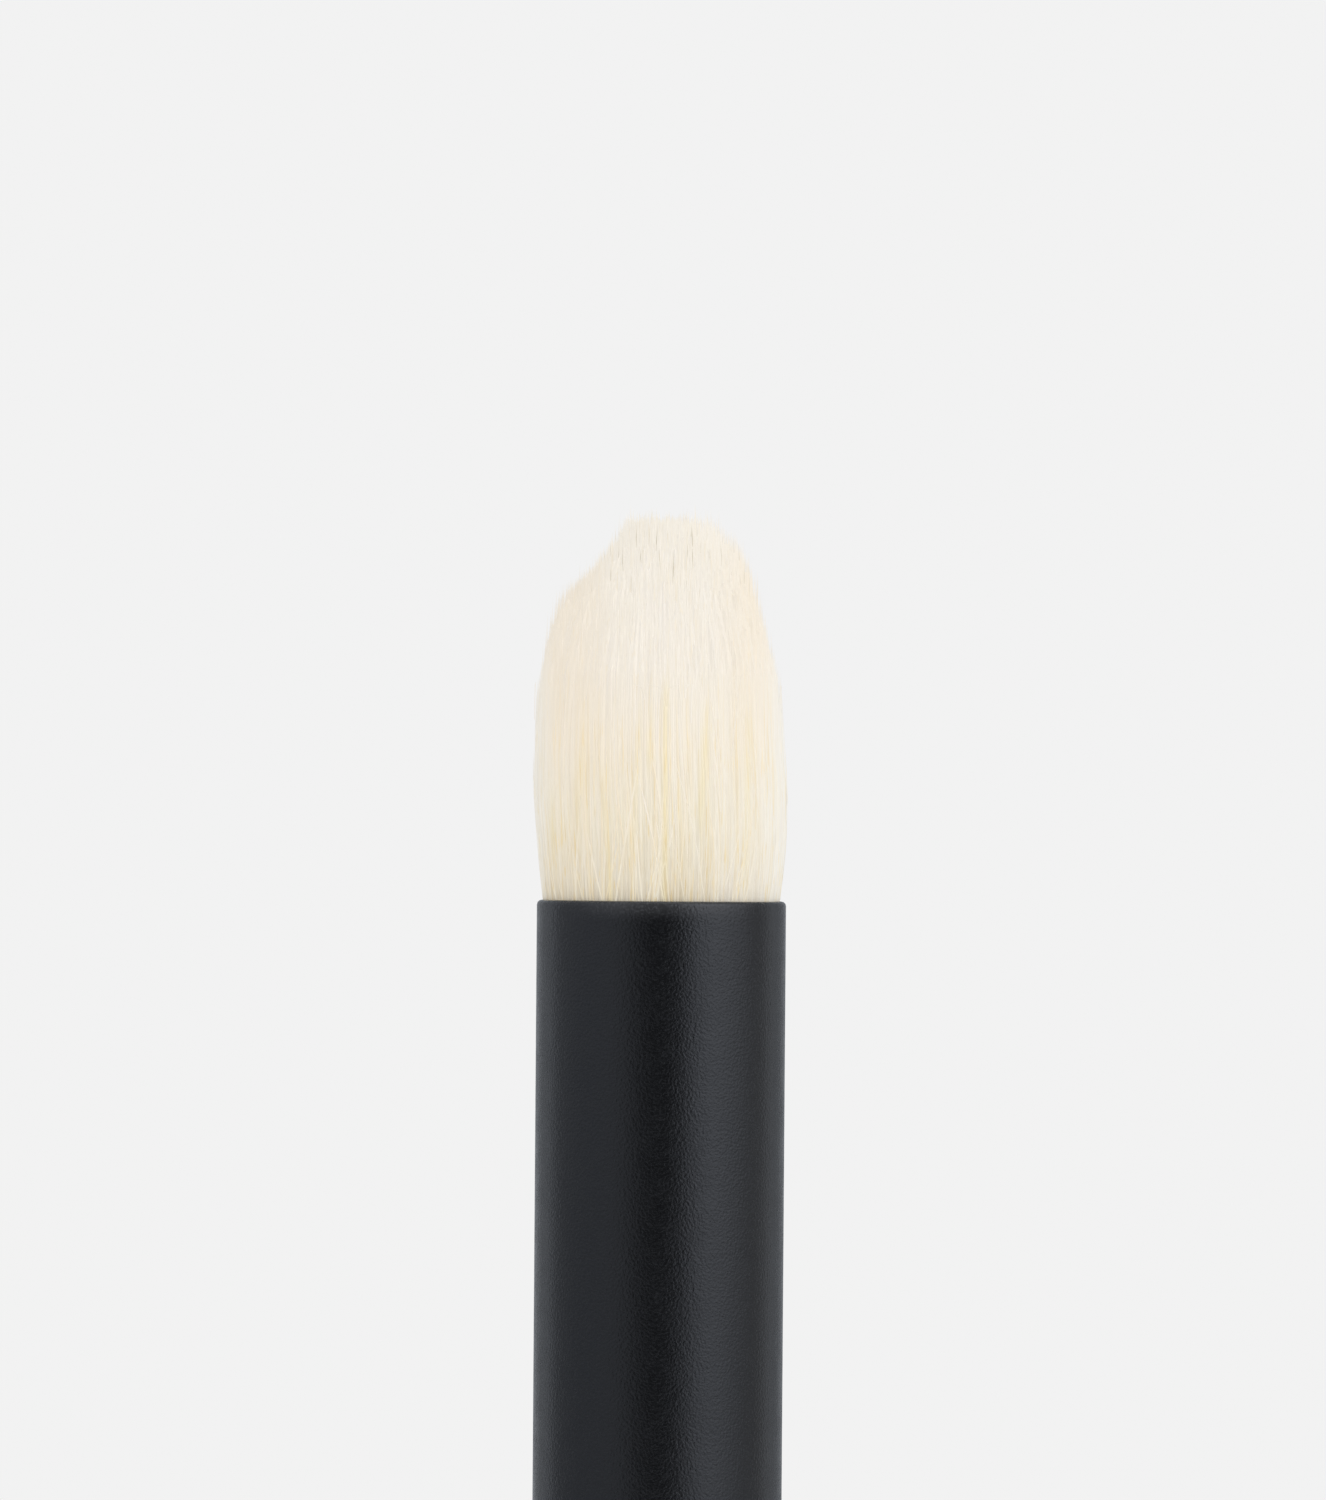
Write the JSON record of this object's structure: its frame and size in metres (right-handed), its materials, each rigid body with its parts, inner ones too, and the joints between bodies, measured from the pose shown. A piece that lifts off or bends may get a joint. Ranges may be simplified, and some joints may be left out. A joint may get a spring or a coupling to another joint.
{
  "type": "eyeshadow brush",
  "caption": "Round eyeshadow brush with a domed head of ivory hair in a straight matte black tube body that stands on its flat butt.",
  "frame": {"origin": "centre of the flat face at the butt, which the brush stands on", "axes": "+Z along the brush from the butt to the hair tips; the picture looks along +Y, with +X to its right"},
  "size_m": [0.009, 0.009, 0.1499],
  "materials": {
    "ivory_hair": "matte",
    "hair_resin": "satin",
    "tie_thread": "matte",
    "black_tube": "matte",
    "joint_plastic": "satin",
    "weight_steel": "satin",
    "adhesive": "satin"
  },
  "bodies": {
    "root": {"bristle_tuft": "ivory_hair", "root_resin": "hair_resin", "tie_thread": "tie_thread", "ferrule": "black_tube", "ferrule_glue": "adhesive", "joint_spigot": "joint_plastic", "handle_glue": "adhesive", "handle_tube": "black_tube", "balance_weight": "weight_steel", "weight_glue": "adhesive", "end_cap": "black_tube", "cap_glue": "adhesive"}
  },
  "joints": []
}
